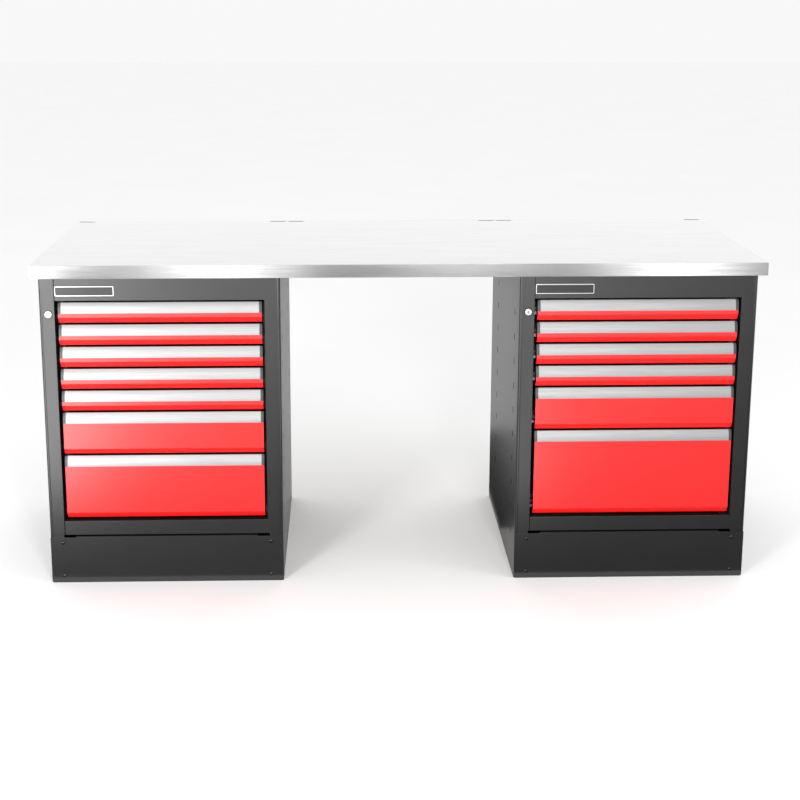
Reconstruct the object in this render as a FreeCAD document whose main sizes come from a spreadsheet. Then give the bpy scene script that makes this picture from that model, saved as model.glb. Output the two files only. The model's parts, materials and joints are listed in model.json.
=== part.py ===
import FreeCAD, Part
import math
import os

import Sketcher

# Workbench: two drawer cabinets under one stainless worktop, with a knee space of one bay between them.
#
# The bench stands on z = 0 with its worktop's middle over the origin. +X is to the right, +Z is up, and
# the drawers open towards -Y. A cabinet's pieces are drawn in the cabinet's own corner frame: x from its
# left face, y from its front face going back, z from the floor. Millimetres throughout.

# ---------------------------------------------------------------- driving dimensions
DIMENSIONS = {
    # The bench as a whole
    "bay_width": 731,            # one cabinet, and the knee space between the two
    "cabinet_depth": 670,
    "worktop_depth": 750,
    "worktop_thickness": 40,
    "worktop_front_overhang": 25,
    "worktop_side_overhang": 20,
    "worktop_skin": 1.5,
    # Cabinet front, from the floor up
    "plinth_height": 154,
    "plinth_gap": 6,
    "bottom_rail": 46,
    "stack_foot_gap": 5.5,
    "drawer_unit": 70,
    "stack_head_gap": 4.5,
    "header": 74,
    "stile": 48,
    # Sheet metal of the casing
    "sheet": 2,
    "bend_radius": 6,
    "front_lip": 9,
    "front_flange": 43,
    "rear_flange": 20,
    "foot_flange": 25,
    "seam": 0.3,
    "pillar_seam": 1.5,
    "pillar_width": 36.7,
    "pillar_return": 20,
    "jamb_depth": 22,
    # Slots and holes in the side panels
    "side_slot_height": 21,
    "side_slot_width": 11,
    "side_slot_pitch": 80.3,
    "side_slot_first": 127,
    "side_hole_radius": 5,
    "side_hole_back": 310,
    # Plinth cover
    "plinth_corner": 6,
    "plinth_relief": 3,
    "plinth_relief_length": 80,
    "plinth_fold": 15,
    "plinth_screw_in": 39,
    "plinth_screw_low": 23,
    "plinth_screw_rise": 110,
    "plinth_back_gap": 3,
    # M6 screws
    "screw_shank_radius": 3,
    "screw_hole_play": 0.3,
    "screw_head_radius": 6,
    "screw_head_height": 3,
    "plinth_screw_length": 14,
    "worktop_screw_length": 25,
    "worktop_screw_in": 60,
    # Uprights and slides
    "upright_width": 40,
    "upright_reach": 10,
    "upright_front": 95,
    "upright_rear_in": 168,
    "slide_space": 27,
    "slide_sheet": 1.5,
    "runner_height": 40,
    "runner_rise": 10,
    "runner_depth": 10,
    "runner_start": 50,
    "slide_play": 1.5,
    "rail_overlap": 6,
    "rail_start": 33,
    # Drawer
    "front_side_gap": 8.5,
    "front_foot_gap": 4,
    "facet_height": 18,
    "facet_depth": 10,
    "front_sheet": 1.5,
    "handle_height": 33.5,
    "handle_top_gap": 2,
    "handle_inset": 8,
    "handle_wall": 2.5,
    "handle_proud": 1.5,
    "handle_lean": 8.5,
    "handle_back_height": 22,
    "handle_depth": 26,
    "tray_sheet": 1.5,
    "tray_foot_gap": 7,
    "tray_head_gap": 9,
    "tray_rear_gap": 30,
    # Lock
    "lock_in": 27,
    "lock_below_top": 116,
    "lock_head_radius": 10.25,
    "lock_head_proud": 3,
    "lock_barrel_radius": 8.5,
    "lock_play": 0.3,
    "lock_barrel_length": 24,
    "cam_throw": 10,
    "cam_radius": 13,
    "cam_thickness": 2,
    "pin_radius": 2,
    "pin_length": 7,
    "pin_play_side": 0.6,
    "pin_play_height": 2.5,
    "bar_left": 16,
    "bar_width": 26,
    "bar_front": 28,
    "bar_sheet": 3,
    "bar_foot_gap": 8,
    "bar_head_gap": 16,
    "lug_reach": 16,
    "lug_height": 10,
    "lug_rise": 16,
    "catch_rise": 30,
    "catch_height": 10,
    "catch_reach": 10,
    "catch_thickness": 3,
    "guide_height": 12,
    "guide_rise": 48,
    "guide_cam_gap": 2.5,
    "guide_wall": 2,
    "guide_play": 0.5,
    # Slots along the worktop's rear edge
    "rear_slot_length": 55,
    "rear_slot_width": 12,
    "rear_slot_edge": 14,
    "rear_slot_end_gap": 5,
    "rear_slot_web": 10,
}

# The bench is three bays long: a cabinet, the knee space and a cabinet.
BAYS = 3
# Units of height of each drawer, from the lowest up. Both stacks are the same number of units high.
STACKS = {"left": (3, 2, 1, 1, 1, 1, 1), "right": (4, 2, 1, 1, 1, 1)}
STACK_UNITS = 10
SLOTS_PER_COLUMN = 10
# A rear slot's corner radius, as a share of half its width: just short of a full round end.
SLOT_ROUNDING = 0.98

doc = FreeCAD.newDocument("workbench")
sheet_of_sizes = doc.addObject("Spreadsheet::Sheet", "Sizes")


class Size:
    """A length that carries the spreadsheet expression it comes from."""

    def __init__(self, value, text):
        self.value = value
        self.text = text

    def __add__(self, other):
        other = as_size(other)
        return Size(self.value + other.value, f"({self.text} + {other.text})")

    def __sub__(self, other):
        other = as_size(other)
        return Size(self.value - other.value, f"({self.text} - {other.text})")

    def __mul__(self, factor):
        factor = as_size(factor)
        return Size(self.value * factor.value, f"({self.text} * {factor.text})")

    def __truediv__(self, factor):
        factor = as_size(factor)
        return Size(self.value / factor.value, f"({self.text} / {factor.text})")

    def __neg__(self):
        return Size(-self.value, f"(0 - {self.text})")


def as_size(value):
    return value if isinstance(value, Size) else Size(float(value), repr(float(value)))


def root(size):
    return Size(math.sqrt(size.value), f"sqrt({size.text})")


def fill_sheet():
    """Write every driving dimension to its cell and return them all as sizes."""
    sizes = {}
    for row, (alias, value) in enumerate(DIMENSIONS.items(), start=1):
        sheet_of_sizes.set(f"A{row}", alias)
        sheet_of_sizes.set(f"B{row}", str(value))
        sheet_of_sizes.setAlias(f"B{row}", alias)
        sizes[alias] = Size(float(value), f"Sizes.{alias}")
    doc.recompute()
    return sizes


D = fill_sheet()
ZERO = as_size(0)
# How far a cutting block runs past what it cuts, or a lug reaches into what it grows from.
OVERRUN = as_size(1)
QUARTER_TURN = 90

# ---------------------------------------------------------------- levels and lines worked out from them
FRAME_FOOT = D["plinth_height"] + D["plinth_gap"]
OPENING_FOOT = FRAME_FOOT + D["bottom_rail"]
STACK_FOOT = OPENING_FOOT + D["stack_foot_gap"]
STACK_HEAD = STACK_FOOT + D["drawer_unit"] * STACK_UNITS
OPENING_HEAD = STACK_HEAD + D["stack_head_gap"]
CABINET_HEAD = OPENING_HEAD + D["header"]
OPENING_RIGHT = D["bay_width"] - D["stile"]
FLANGE_FRONT = D["sheet"]
BACK_FACE = D["cabinet_depth"] - D["sheet"]
TRAY_LEFT = D["stile"] + D["slide_space"]
TRAY_RIGHT = OPENING_RIGHT - D["slide_space"]
TRAY_FRONT = D["handle_depth"]
TRAY_BACK = BACK_FACE - D["sheet"] - D["tray_rear_gap"]
UPRIGHT_FACE = D["stile"] + D["upright_reach"]
UPRIGHT_REAR = D["cabinet_depth"] - D["upright_rear_in"]
SCREW_HOLE = D["screw_shank_radius"] + D["screw_hole_play"]
LOCK_HEIGHT = CABINET_HEAD - D["lock_below_top"]
LOCK_HOLE = D["lock_barrel_radius"] + D["lock_play"]
FRONT_PLANE = D["worktop_front_overhang"] - D["worktop_depth"] / 2
HALF_SPAN = D["bay_width"] * BAYS / 2
CABINET_LEFT = {"left": -HALF_SPAN, "right": HALF_SPAN - D["bay_width"]}


# ---------------------------------------------------------------- helpers
def place(thing, x, y, z):
    """Bind the object's position to three sizes."""
    for axis, size in zip("xyz", (x, y, z)):
        thing.setExpression(f"Placement.Base.{axis}", as_size(size).text)


def new_body(label, x, y, z):
    body = doc.addObject("PartDesign::Body", label)
    body.Label = label
    place(body, x, y, z)
    return body


def origin_plane(body, role):
    return next(item for item in body.Origin.OriginFeatures if item.Role == role)


def pin_point(sketch, geometry, end, x, y):
    """Fix one sketch point at two sizes, measured from the sketch's origin."""
    for kind, size in (("DistanceX", x), ("DistanceY", y)):
        index = sketch.addConstraint(Sketcher.Constraint(kind, -1, 1, geometry, end, size.value))
        sketch.setExpression(f"Constraints[{index}]", size.text)


def rounded_corners(points):
    """Replace each corner (x, y, radius) of a square-cornered outline by its two tangent points.

    Returns a list of (x, y, radius of the arc that leads on to the next point, or None).
    """
    result = []
    count = len(points)
    for index, point in enumerate(points):
        x, y = as_size(point[0]), as_size(point[1])
        if len(point) == 2:
            result.append((x, y, None))
            continue
        radius = as_size(point[2])
        before, after = points[index - 1], points[(index + 1) % count]
        for neighbour, arc in ((before, radius), (after, None)):
            run_x = as_size(neighbour[0]).value - x.value
            run_y = as_size(neighbour[1]).value - y.value
            step_x = radius * math.copysign(1, run_x) if abs(run_x) > abs(run_y) else ZERO
            step_y = radius * math.copysign(1, run_y) if abs(run_y) > abs(run_x) else ZERO
            result.append((x + step_x, y + step_y, arc))
    return result


def short_arc(a, b, radius, towards):
    """The arc of under half a turn from a to b that bows towards a point.

    Also returns which of its two ends meets a and which meets b.
    """
    middle = (a + b) / 2
    half = (b - a).Length / 2
    across = FreeCAD.Vector(a.y - b.y, b.x - a.x, 0).normalize()
    if across.dot(towards - middle) > 0:
        across = -across
    centre = middle + across * math.sqrt(radius**2 - half**2)
    angle_a = math.atan2(a.y - centre.y, a.x - centre.x)
    angle_b = math.atan2(b.y - centre.y, b.x - centre.x)
    forward = (angle_b - angle_a) % math.tau < math.pi
    first, last = (angle_a, angle_b) if forward else (angle_b, angle_a)
    if last < first:
        last += math.tau
    circle = Part.Circle(centre, FreeCAD.Vector(0, 0, 1), radius)
    return Part.ArcOfCircle(circle, first, last), (1, 2) if forward else (2, 1)


def close_outline(sketch, corners, ends):
    """Tie each piece of an outline to the next one, and fix every corner at its sizes."""
    for index, corner in enumerate(corners):
        geometry, start, end = ends[index]
        following, first, _ = ends[(index + 1) % len(corners)]
        sketch.addConstraint(Sketcher.Constraint("Coincident", geometry, end, following, first))
        pin_point(sketch, geometry, start, corner[0], corner[1])


def set_radius(sketch, geometry, radius):
    number = sketch.addConstraint(Sketcher.Constraint("Radius", geometry, radius.value))
    sketch.setExpression(f"Constraints[{number}]", radius.text)


def draw_outline(sketch, points):
    """A closed outline of straight runs, with a tangent arc at each corner that has a radius."""
    corners = rounded_corners(points)
    ends = []
    for index, corner in enumerate(corners):
        following = corners[(index + 1) % len(corners)]
        a = FreeCAD.Vector(corner[0].value, corner[1].value, 0)
        b = FreeCAD.Vector(following[0].value, following[1].value, 0)
        if corner[2] is None:
            ends.append((sketch.addGeometry(Part.LineSegment(a, b), False), 1, 2))
            continue
        # The true corner is where the two straight runs would meet.
        before = corners[index - 1]
        along_x = abs(before[0].value - corner[0].value) > abs(before[1].value - corner[1].value)
        tip = FreeCAD.Vector(b.x, a.y, 0) if along_x else FreeCAD.Vector(a.x, b.y, 0)
        arc, meets = short_arc(a, b, corner[2].value, tip)
        ends.append((sketch.addGeometry(arc, False), *meets))
    close_outline(sketch, corners, ends)
    for corner, (geometry, _, _) in zip(corners, ends):
        if corner[2] is not None:
            set_radius(sketch, geometry, corner[2])


def draw_circle(sketch, x, y, radius):
    x, y, radius = as_size(x), as_size(y), as_size(radius)
    centre = FreeCAD.Vector(x.value, y.value, 0)
    circle = Part.Circle(centre, FreeCAD.Vector(0, 0, 1), radius.value)
    geometry = sketch.addGeometry(circle, False)
    pin_point(sketch, geometry, 3, x, y)
    set_radius(sketch, geometry, radius)


def rectangle(x0, y0, x1, y1):
    return [(x0, y0), (x1, y0), (x1, y1), (x0, y1)]


def new_sketch(body, name, role, start, outlines=(), circles=()):
    """A sketch of closed outlines on one of the body's own planes, moved along its axis to start."""
    sketch = body.newObject("Sketcher::SketchObject", f"{body.Label}_{name}_sketch")
    sketch.AttachmentSupport = (origin_plane(body, role), [""])
    sketch.MapMode = "FlatFace"
    start = as_size(start)
    # The XZ plane faces -Y, so its offset is turned round to count towards +Y.
    offset = -start if role == "XZ_Plane" else start
    sketch.setExpression("AttachmentOffset.Base.z", offset.text)
    for points in outlines:
        draw_outline(sketch, points)
    for x, y, radius in circles:
        draw_circle(sketch, x, y, radius)
    return sketch


def pad(body, name, role, start, length, outlines=(), circles=()):
    """Add material from start towards the + end of the axis that the plane faces."""
    feature = body.newObject("PartDesign::Pad", f"{body.Label}_{name}")
    feature.Profile = new_sketch(body, name, role, start, outlines, circles)
    feature.setExpression("Length", as_size(length).text)
    feature.Reversed = role == "XZ_Plane"
    doc.recompute()
    return feature


def cut(body, name, role, start, length, outlines=(), circles=()):
    """Take material away from start towards the + end of the axis, and make sure that some went."""
    volume = body.Shape.Volume
    feature = body.newObject("PartDesign::Pocket", f"{body.Label}_{name}")
    feature.Profile = new_sketch(body, name, role, start, outlines, circles)
    feature.setExpression("Length", as_size(length).text)
    feature.Reversed = role != "XZ_Plane"
    doc.recompute()
    if body.Shape.Volume > volume - 1e-3:
        raise RuntimeError(f"{feature.Label} cuts nothing")
    return feature


def repeat(body, feature, role, pitch, count):
    """Repeat a feature along the axis of the given role, count times in all."""
    volume = body.Shape.Volume
    pattern = body.newObject("PartDesign::LinearPattern", f"{feature.Label}_pattern")
    pattern.Originals = [feature]
    pattern.Direction = (origin_plane(body, role), [""])
    pattern.Mode = "Spacing"
    pattern.setExpression("Offset", pitch.text)
    pattern.Occurrences = count
    body.Tip = pattern
    doc.recompute()
    if abs(body.Shape.Volume - volume) < 1e-3:
        raise RuntimeError(f"{pattern.Label} repeats nothing")
    return pattern


def box(label, corner, far_corner):
    """A Part box between two corners given as sizes."""
    solid = doc.addObject("Part::Box", label)
    solid.Label = label
    low = [as_size(value) for value in corner]
    high = [as_size(value) for value in far_corner]
    for name, a, b in zip(("Length", "Width", "Height"), low, high):
        solid.setExpression(name, (b - a).text)
    place(solid, *low)
    return solid


def rod(label, foot, radius, length, direction="z"):
    """A Part cylinder from its foot, pointing along +Z or +Y."""
    solid = doc.addObject("Part::Cylinder", label)
    solid.Label = label
    if direction == "y":
        tilt = FreeCAD.Rotation(FreeCAD.Vector(1, 0, 0), -QUARTER_TURN)
        solid.Placement = FreeCAD.Placement(FreeCAD.Vector(), tilt)
    solid.setExpression("Radius", as_size(radius).text)
    solid.setExpression("Height", as_size(length).text)
    place(solid, *foot)
    return solid


def subtract(label, base, tool):
    result = doc.addObject("Part::Cut", label)
    result.Label = label
    result.Base = base
    result.Tool = tool
    return result


def join(label, pieces):
    result = doc.addObject("Part::MultiFuse", label)
    result.Label = label
    result.Shapes = pieces
    return result


def group(label, pieces):
    """Several solids that share one name."""
    result = doc.addObject("Part::Compound", label)
    result.Label = label
    result.Links = pieces
    return result


def inside(side, x, y, z):
    """Turn a point of a cabinet's corner frame into the bench's frame."""
    return (CABINET_LEFT[side] + x, FRONT_PLANE + y, as_size(z))


def box_inside(side, label, corner, far_corner):
    return box(label, inside(side, *corner), inside(side, *far_corner))


# ---------------------------------------------------------------- worktop
def worktop_half_length():
    return HALF_SPAN + D["worktop_side_overhang"]


def rear_slot_centres():
    """The x of the six slots: three equal pairs of stations, one to a bay, from end to end."""
    end = worktop_half_length() - D["rear_slot_end_gap"] - D["rear_slot_length"] / 2
    step = D["rear_slot_length"] + D["rear_slot_web"]
    spacing = (end - step) * 2 / BAYS
    inner = spacing / 2
    outer = inner + step
    return [-end, -outer, -inner, inner, outer, end]


def rear_slots():
    """Round-ended slot outlines in plan, set in from the worktop's rear edge."""
    y = D["worktop_depth"] / 2 - D["rear_slot_edge"]
    half = D["rear_slot_width"] / 2
    outlines = []
    for x in rear_slot_centres():
        reach = D["rear_slot_length"] / 2
        radius = half * SLOT_ROUNDING
        corners = rectangle(x - reach, y - half, x + reach, y + half)
        outlines.append([(a, b, radius) for a, b in corners])
    return outlines


def worktop_screw_places():
    """Where the worktop's fixing screws come up through the cabinets' top decks, in plan."""
    inset = D["worktop_screw_in"]
    places = []
    for side in STACKS:
        for x in (inset, D["bay_width"] - inset):
            for y in (D["upright_front"] - D["upright_width"], BACK_FACE - inset):
                places.append(inside(side, x, y, ZERO)[:2])
    return places


def worktop_core():
    """The board inside the worktop, with the slots right through and pilot holes from below."""
    reach = worktop_half_length() - D["worktop_skin"]
    depth = D["worktop_depth"] / 2 - D["worktop_skin"]
    body = new_body("worktop_core", 0, 0, CABINET_HEAD)
    height = D["worktop_thickness"] - D["worktop_skin"]
    pad(body, "board", "XY_Plane", 0, height, [rectangle(-reach, -depth, reach, depth)])
    cut(body, "slots", "XY_Plane", 0, height, rear_slots())
    holes = [(x, y, SCREW_HOLE) for x, y in worktop_screw_places()]
    cut(body, "pilots", "XY_Plane", 0, D["worktop_screw_length"], circles=holes)
    return body


def worktop_skin():
    """Stainless sheet folded down over the board's four edges."""
    reach = worktop_half_length()
    depth = D["worktop_depth"] / 2
    wall = D["worktop_skin"]
    body = new_body("worktop_skin", 0, 0, CABINET_HEAD)
    pad(body, "block", "XY_Plane", 0, D["worktop_thickness"], [rectangle(-reach, -depth, reach, depth)])
    inner = rectangle(-(reach - wall), -(depth - wall), reach - wall, depth - wall)
    cut(body, "hollow", "XY_Plane", 0, D["worktop_thickness"] - wall, [inner])
    cut(body, "slots", "XY_Plane", D["worktop_thickness"] - wall * 2, wall * 2, rear_slots())
    return body


# ---------------------------------------------------------------- cabinet casing
def facing(hand, x):
    """Mirror an x of the left side panel for the right one."""
    return x if hand == "left" else D["bay_width"] - x


def side_panel(side, hand, label):
    """A side wall folded round the front corner, with a set-back flange that the front seats on."""
    wall, depth, radius = D["sheet"], D["cabinet_depth"], D["bend_radius"]
    flange_back = FLANGE_FRONT + wall
    plan = [
        (ZERO, depth),
        (ZERO, ZERO, radius),
        (D["front_lip"], ZERO),
        (D["front_lip"], FLANGE_FRONT),
        (D["front_flange"], FLANGE_FRONT),
        (D["front_flange"], flange_back),
        (D["front_lip"] - wall, flange_back),
        (D["front_lip"] - wall, wall),
        (wall, wall, radius - wall),
        (wall, BACK_FACE),
        (D["rear_flange"], BACK_FACE),
        (D["rear_flange"], depth),
    ]
    body = new_body(label, *inside(side, ZERO, ZERO, ZERO))
    turned = [(facing(hand, as_size(point[0])), *point[1:]) for point in plan]
    pad(body, "wall", "XY_Plane", 0, CABINET_HEAD, [turned])
    near, far = facing(hand, ZERO), facing(hand, D["foot_flange"])
    foot = rectangle(near, radius, far, BACK_FACE)
    pad(body, "foot", "XY_Plane", 0, wall, [foot])
    # The plinth cover lies over the front below the frame, so the folded corner stops above it.
    over = facing(hand, D["front_flange"])
    notch = rectangle(near, ZERO, over, FRAME_FOOT - D["plinth_back_gap"])
    cut(body, "notch", "XZ_Plane", 0, FLANGE_FRONT, [notch])
    low = D["plinth_screw_low"]
    heights = (low, low + D["plinth_screw_rise"])
    screws = [(facing(hand, D["plinth_screw_in"]), z, SCREW_HOLE) for z in heights]
    cut(body, "screws", "XZ_Plane", 0, flange_back + wall, circles=screws)
    if hand == "left":
        hole = [(D["lock_in"], LOCK_HEIGHT, LOCK_HOLE)]
        cut(body, "lock_hole", "XZ_Plane", 0, flange_back + wall, circles=hole)
    half_wide, half_high = D["side_slot_width"] / 2, D["side_slot_height"] / 2
    first = D["side_slot_first"]
    columns = [
        rectangle(y - half_wide, first - half_high, y + half_wide, first + half_high)
        for y in (D["upright_front"], UPRIGHT_REAR)
    ]
    start = ZERO if hand == "left" else D["bay_width"] - wall * 2
    slots = cut(body, "slots", "YZ_Plane", start, wall * 2, columns)
    repeat(body, slots, "XY_Plane", D["side_slot_pitch"], SLOTS_PER_COLUMN)
    hole = [(D["side_hole_back"], first, D["side_hole_radius"])]
    cut(body, "hole", "YZ_Plane", start, wall * 2, circles=hole)
    return body


def front_frame(side):
    """Header, right stile and bottom rail in one folded sheet, with a jamb round the opening."""
    wall = D["sheet"]
    left = D["front_lip"] + D["seam"] + D["pillar_width"] + D["pillar_seam"]
    right = D["bay_width"] - D["front_lip"] - D["seam"]
    face = [
        (left, FRAME_FOOT),
        (right, FRAME_FOOT),
        (right, CABINET_HEAD),
        (left, CABINET_HEAD),
        (left, OPENING_HEAD),
        (OPENING_RIGHT, OPENING_HEAD),
        (OPENING_RIGHT, OPENING_FOOT),
        (left, OPENING_FOOT),
    ]
    jamb = [
        (left, OPENING_HEAD),
        (OPENING_RIGHT, OPENING_HEAD),
        (OPENING_RIGHT, OPENING_FOOT),
        (left, OPENING_FOOT),
        (left, OPENING_FOOT - wall),
        (OPENING_RIGHT + wall, OPENING_FOOT - wall),
        (OPENING_RIGHT + wall, OPENING_HEAD + wall),
        (left, OPENING_HEAD + wall),
    ]
    inner_right = D["bay_width"] - D["front_flange"]
    body = new_body(f"front_frame_{side}", *inside(side, ZERO, ZERO, ZERO))
    pad(body, "face", "XZ_Plane", 0, wall, [face])
    pad(body, "jamb", "XZ_Plane", 0, D["jamb_depth"], [jamb])
    foot = rectangle(left, FRAME_FOOT, inner_right, FRAME_FOOT + wall)
    head = rectangle(left, CABINET_HEAD - wall, inner_right, CABINET_HEAD)
    pad(body, "returns", "XZ_Plane", 0, D["jamb_depth"], [foot, head])
    return body


def lock_pillar(side):
    """The full-height cover at the cabinet's left, with the lock's hole and the lock bar's two guides."""
    wall = D["sheet"]
    left = D["front_lip"] + D["seam"]
    right = left + D["pillar_width"]
    plan = [
        (left, ZERO),
        (right, ZERO),
        (right, D["pillar_return"]),
        (right - wall, D["pillar_return"]),
        (right - wall, wall),
        (left, wall),
    ]
    cover = new_body(f"pillar_cover_{side}", *inside(side, ZERO, ZERO, FRAME_FOOT))
    pad(cover, "angle", "XY_Plane", 0, CABINET_HEAD - FRAME_FOOT, [plan])
    hole = [(D["lock_in"], LOCK_HEIGHT - FRAME_FOOT, LOCK_HOLE)]
    cut(cover, "lock_hole", "XZ_Plane", 0, wall, circles=hole)
    pieces = [cover]
    play, guide = D["guide_play"], D["guide_wall"]
    above_cam = LOCK_HEIGHT + D["cam_radius"] + D["guide_cam_gap"]
    for name, foot in (("low", STACK_FOOT + D["guide_rise"]), ("high", above_cam)):
        head = foot + D["guide_height"]
        bar_right, bar_back = D["bar_left"] + D["bar_width"], D["bar_front"] + D["bar_sheet"]
        block = box_inside(
            side,
            f"guide_block_{name}_{side}",
            (wall, D["bar_front"] - play - guide, foot),
            (bar_right + play + guide, bar_back + play + guide, head),
        )
        way = box_inside(
            side,
            f"guide_way_{name}_{side}",
            (D["bar_left"] - play, D["bar_front"] - play, foot - OVERRUN),
            (bar_right + play, bar_back + play, head + OVERRUN),
        )
        pieces.append(subtract(f"bar_guide_{name}_{side}", block, way))
    return group(f"lock_pillar_{side}", pieces)


def plinth_cover(side):
    """The screwed cover below the front: a flat sheet with a fold along its top edge."""
    wall, width = D["sheet"], D["bay_width"]
    relief, head = D["plinth_relief_length"], D["plinth_height"]
    low_head = head - D["plinth_relief"]
    face = [
        (ZERO, ZERO, D["plinth_corner"]),
        (width, ZERO, D["plinth_corner"]),
        (width, low_head),
        (width - relief, low_head),
        (width - relief, head),
        (relief, head),
        (relief, low_head),
        (ZERO, low_head),
    ]
    body = new_body(f"plinth_cover_{side}", *inside(side, ZERO, ZERO, ZERO))
    pad(body, "face", "XZ_Plane", 0, wall, [face])
    fold = rectangle(relief, head - wall, width - relief, head)
    pad(body, "fold", "XZ_Plane", 0, D["plinth_fold"], [fold])
    screws = [(x, z, SCREW_HOLE) for x, z in plinth_screw_places()]
    cut(body, "screws", "XZ_Plane", 0, wall, circles=screws)
    return body


def plinth_screw_places():
    inset, low = D["plinth_screw_in"], D["plinth_screw_low"]
    sides = (inset, D["bay_width"] - inset)
    return [(x, z) for x in sides for z in (low, low + D["plinth_screw_rise"])]


def back_panels():
    """One plain sheet behind each cabinet, in front of the side panels' rear flanges."""
    wall = D["sheet"]
    sheets = []
    for side in STACKS:
        low = (wall, BACK_FACE - wall, wall)
        high = (D["bay_width"] - wall, BACK_FACE, CABINET_HEAD)
        sheets.append(box_inside(side, f"back_panel_{side}", low, high))
    return group("back_panels", sheets)


def deck_panels():
    """Each cabinet's top deck, which the worktop is screwed to, and its bottom deck."""
    wall = D["sheet"]
    decks = []
    for side in STACKS:
        for name, foot in (("bottom", FRAME_FOOT), ("top", CABINET_HEAD - wall)):
            low = (wall, D["jamb_depth"], foot)
            high = (D["bay_width"] - wall, BACK_FACE - wall, foot + wall)
            deck = box_inside(side, f"{name}_deck_sheet_{side}", low, high)
            if name == "top":
                through = wall + OVERRUN * 2
                holes = [
                    rod(f"deck_hole_{side}_{number}", (x, y, foot - OVERRUN), SCREW_HOLE, through)
                    for number, (x, y) in enumerate(worktop_screw_places())
                    if (x.value < 0) == (side == "left")
                ]
                deck = subtract(f"top_deck_{side}", deck, join(f"deck_holes_{side}", holes))
            decks.append(deck)
    return group("deck_panels", decks)


def uprights():
    """Four folded channels in each cabinet, hung behind the side panels' slots, that carry the slides."""
    wall, half = D["sheet"], D["upright_width"] / 2
    channels = []
    for side in STACKS:
        for hand in ("left", "right"):
            for name, y in (("front", D["upright_front"]), ("rear", UPRIGHT_REAR)):
                face, foot = facing(hand, UPRIGHT_FACE), facing(hand, wall)
                inner = facing(hand, UPRIGHT_FACE - wall)
                plan = [
                    (foot, y - half),
                    (face, y - half),
                    (face, y + half),
                    (foot, y + half),
                    (foot, y + half - wall),
                    (inner, y + half - wall),
                    (inner, y - half + wall),
                    (foot, y - half + wall),
                ]
                body = new_body(f"upright_{side}_{hand}_{name}", *inside(side, ZERO, ZERO, ZERO))
                height = CABINET_HEAD - FRAME_FOOT - wall * 2
                pad(body, "channel", "XY_Plane", FRAME_FOOT + wall, height, [plan])
                channels.append(body)
    return group("uprights", channels)


# ---------------------------------------------------------------- slides
def drawer_slots():
    """Every drawer as (side, number from the top, floor of its slot, height of its slot)."""
    slots = []
    for side, stack in STACKS.items():
        below = 0
        for index, units in enumerate(stack):
            number = len(stack) - index
            slots.append((side, number, STACK_FOOT + D["drawer_unit"] * below, D["drawer_unit"] * units))
            below += units
    return slots


def magnitude(size):
    return size if size.value > 0 else -size


def ordered(a, b):
    return (a, b) if a.value < b.value else (b, a)


def channel(side, hand, label, outer, tip, front, back, foot, height):
    """A C-shaped slide member: its web at x = outer, its two flanges reaching to x = tip."""
    wall = D["slide_sheet"]
    inward = wall if outer.value < tip.value else -wall
    x0, x1 = ordered(facing(hand, outer), facing(hand, tip))
    hollow0, hollow1 = ordered(facing(hand, outer + inward), facing(hand, tip + inward))
    solid = box_inside(side, f"{label}_block", (x0, front, foot), (x1, back, foot + height))
    low = (hollow0, front - OVERRUN, foot + wall)
    high = (hollow1, back + OVERRUN, foot + height - wall)
    hollow = box_inside(side, f"{label}_hollow", low, high)
    return subtract(label, solid, hollow)


def slide_runners():
    """The fixed members, two to a drawer, on the uprights' faces."""
    runners = []
    for side, number, floor, _ in drawer_slots():
        foot = floor + D["runner_rise"]
        for hand in ("left", "right"):
            label = f"runner_{side}_{number}_{hand}"
            tip = UPRIGHT_FACE + D["runner_depth"]
            ends = (D["runner_start"], TRAY_BACK)
            runner = channel(side, hand, label, UPRIGHT_FACE, tip, *ends, foot, D["runner_height"])
            runners.append(runner)
    return group("slide_runners", runners)


def moving_rail(side, number, hand, floor):
    """The drawer's slide member, on the tray's wall inside the runner, with a catch at the left."""
    gap = D["slide_sheet"] + D["slide_play"]
    foot = floor + D["runner_rise"] + gap
    height = D["runner_height"] - gap * 2
    tip = UPRIGHT_FACE + D["runner_depth"] - D["rail_overlap"]
    label = f"rail_{side}_{number}_{hand}"
    rail = channel(side, hand, label, TRAY_LEFT, tip, D["rail_start"], TRAY_BACK, foot, height)
    if hand == "right":
        return rail
    catch = box_inside(
        side,
        f"catch_{side}_{number}",
        (tip - D["catch_reach"], D["rail_start"], floor + D["catch_rise"]),
        (TRAY_LEFT, D["rail_start"] + D["catch_thickness"], floor + D["catch_rise"] + D["catch_height"]),
    )
    return join(f"{label}_with_catch", [rail, catch])


# ---------------------------------------------------------------- drawers
def tray(side, number, floor, height):
    """The drawer's sheet-metal box with its two slide members."""
    wall = D["tray_sheet"]
    foot = floor + D["tray_foot_gap"]
    deep = height - D["tray_foot_gap"] - D["tray_head_gap"]
    body = new_body(f"tray_box_{side}_{number}", *inside(side, ZERO, ZERO, foot))
    pad(body, "block", "XY_Plane", 0, deep, [rectangle(TRAY_LEFT, TRAY_FRONT, TRAY_RIGHT, TRAY_BACK)])
    inner = rectangle(TRAY_LEFT + wall, TRAY_FRONT + wall, TRAY_RIGHT - wall, TRAY_BACK - wall)
    cut(body, "hollow", "XY_Plane", wall, deep - wall, [inner])
    rails = [moving_rail(side, number, hand, floor) for hand in ("left", "right")]
    return group(f"drawer_tray_{side}_{number}", [body, *rails])


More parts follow.
